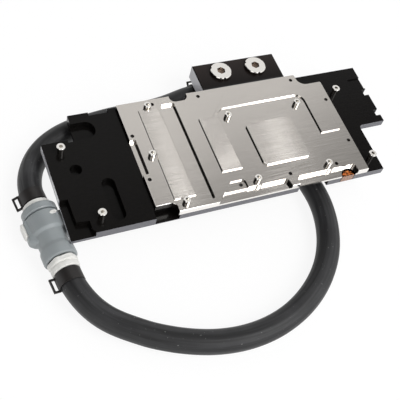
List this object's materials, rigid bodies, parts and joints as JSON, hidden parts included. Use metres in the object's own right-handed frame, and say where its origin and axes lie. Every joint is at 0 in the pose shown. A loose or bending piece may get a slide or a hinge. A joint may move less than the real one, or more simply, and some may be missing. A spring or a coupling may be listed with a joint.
{
  "type": "liquid cooling cold plate",
  "caption": "Full-cover liquid cold plate for an accelerator card: nickelled copper plate on a black cover, terminal block, hose loop with a quick coupling.",
  "frame": {"origin": "middle of the die contact face", "axes": "+X along the card towards its notched tab, +Y towards the terminal block, +Z out of the die contact face"},
  "size_m": [0.294, 0.2241, 0.0359],
  "materials": {
    "nickel_plate": "nickel plated copper, milled and polished",
    "nickel_part": "nickel plated brass, turned",
    "black_acetal": "black acetal, milled",
    "seal_rubber": "moulded seal rubber",
    "hose_rubber": "extruded matt rubber hose",
    "screw_steel": "stainless steel",
    "jet_steel": "stainless steel sheet",
    "copper": "bare copper",
    "band_steel": "spring steel, blackened",
    "grey_plastic": "moulded blue-grey plastic",
    "white_plastic": "moulded white plastic"
  },
  "bodies": {
    "block": {"cold_plate": "nickel_plate", "cover_body": "black_acetal", "chamber_seal": "seal_rubber", "jet_plate": "jet_steel", "terminal_block": "black_acetal", "terminal_seals": "seal_rubber", "terminal_screws": "screw_steel", "cover_screws": "screw_steel", "port_plugs": "nickel_part", "plug_seals": "seal_rubber", "adapter_seals": "seal_rubber", "die_standoffs": "nickel_part", "board_standoffs": "nickel_part", "support_standoffs": "nickel_part", "copper_slug": "copper", "left_adapter": "nickel_part", "right_adapter": "nickel_part", "left_elbow": "nickel_part", "right_elbow": "nickel_part", "left_elbow_clamp": "band_steel", "right_elbow_clamp": "band_steel", "short_hose": "hose_rubber", "long_hose": "hose_rubber", "coupling_body": "grey_plastic", "coupling_ring": "grey_plastic", "coupling_tail": "white_plastic", "coupling_insert": "white_plastic", "coupling_seal": "seal_rubber", "shutoff_valve": "white_plastic", "release_mark": "white_plastic", "short_hose_clamp": "band_steel", "long_hose_clamp": "band_steel"},
    "latch": {"thumb_latch": "white_plastic"}
  },
  "joints": [
    {"name": "latch_press", "type": "slide", "parent": "block", "child": "latch", "axis": [0.993, 0.1184, 0], "range_m": [0, 0.0018], "stiffness_N_per_m": 2000, "springref_m": -0.002}
  ]
}
